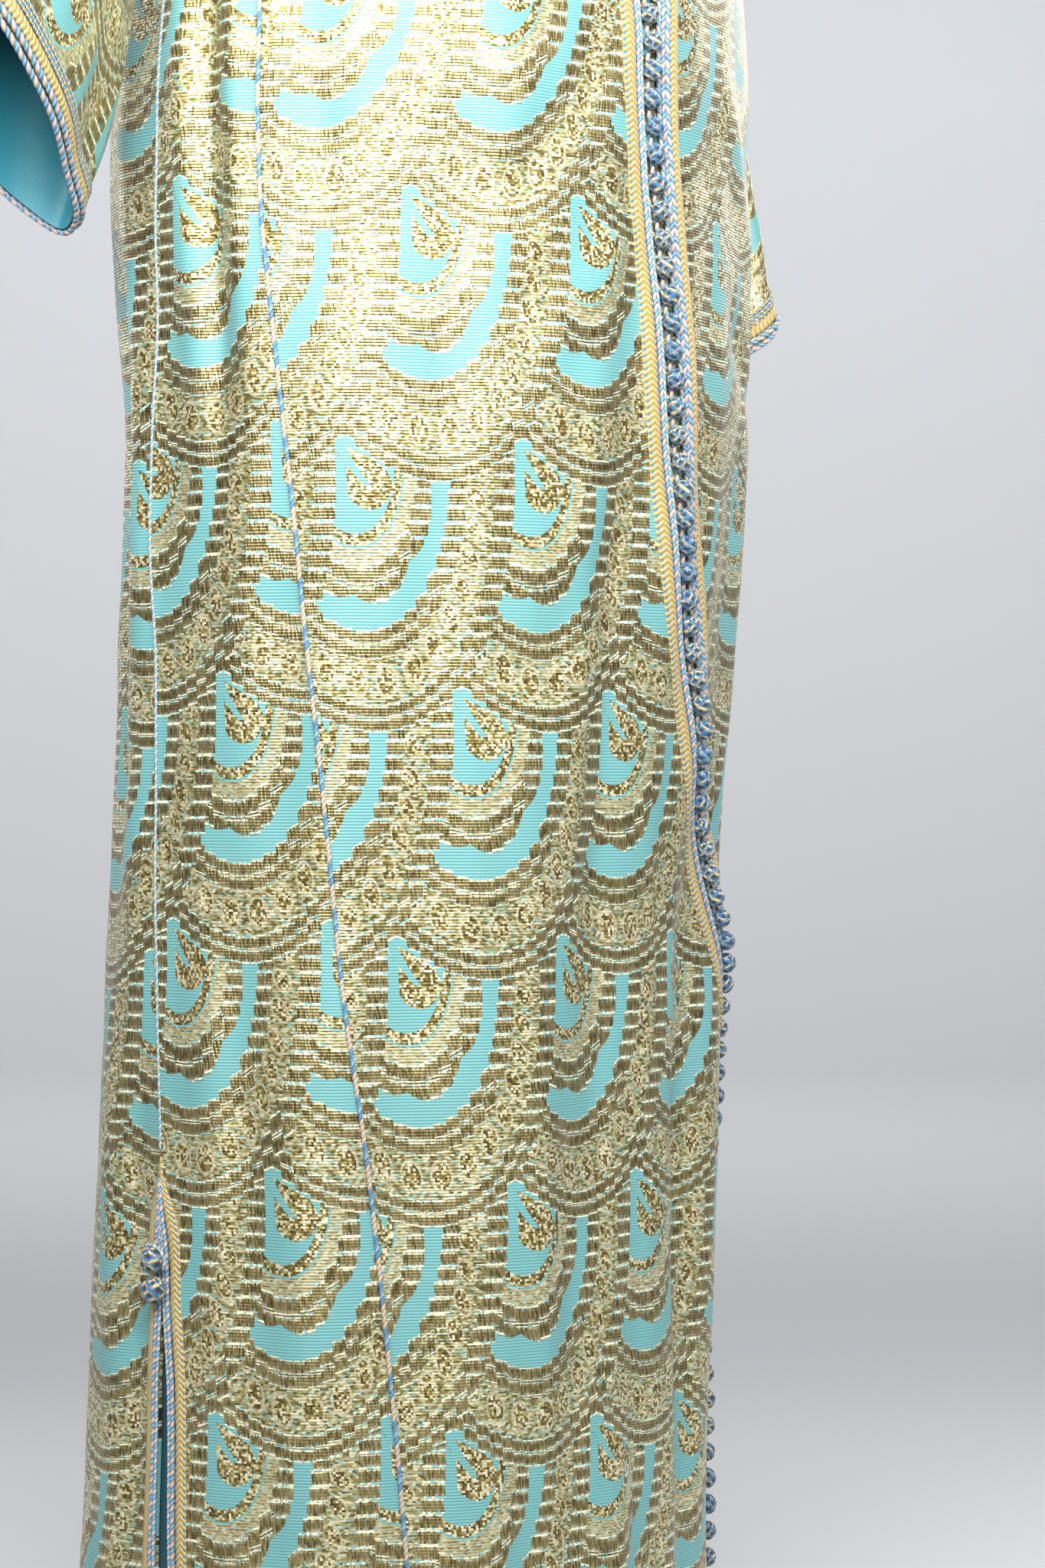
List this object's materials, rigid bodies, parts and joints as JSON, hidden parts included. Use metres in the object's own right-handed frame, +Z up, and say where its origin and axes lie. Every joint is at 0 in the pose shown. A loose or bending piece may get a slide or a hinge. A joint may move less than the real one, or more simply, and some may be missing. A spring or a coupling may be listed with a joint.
{
  "type": "djellaba",
  "caption": "Full-length brocade djellaba in its worn form, buttoned down the front, with side slits, wide sleeves and a hood lying down the back.",
  "frame": {"origin": "midway between the shoulders at the base of the neck, where the wearer holds the garment up", "axes": "+Z up, the front faces -Y, the wearer's left is +X"},
  "size_m": [0.7196, 0.3959, 1.4853],
  "materials": {
    "brocade": "turquoise and gold lame brocade",
    "lining": "smooth teal lining",
    "braid": "flat silk braid, gold with blue stitches",
    "cord": "twisted silk cord, blue with pale pink",
    "knot": "knotted silk, blue with cream"
  },
  "bodies": {
    "root": {"back": "brocade", "front_right": "brocade", "front_left": "brocade", "front_gore_right": "brocade", "front_gore_left": "brocade", "sleeve_right": "brocade", "sleeve_left": "brocade", "hood": "brocade", "sleeve_lining_right": "lining", "sleeve_lining_left": "lining", "front_facing": "lining", "slit_facing_right": "lining", "slit_facing_left": "lining", "front_braid_right": "braid", "front_braid_left": "braid", "slit_braid_right": "braid", "slit_braid_left": "braid", "cuff_braid_right": "braid", "cuff_braid_left": "braid", "neck_braid": "braid", "front_cord_right": "cord", "front_cord_left": "cord", "gore_cord_right": "cord", "gore_cord_left": "cord", "side_cord_right": "cord", "side_cord_left": "cord", "knot_row": "knot", "slit_knot_right_1": "knot", "slit_knot_right_2": "knot", "slit_knot_left_1": "knot", "slit_knot_left_2": "knot"}
  },
  "joints": []
}
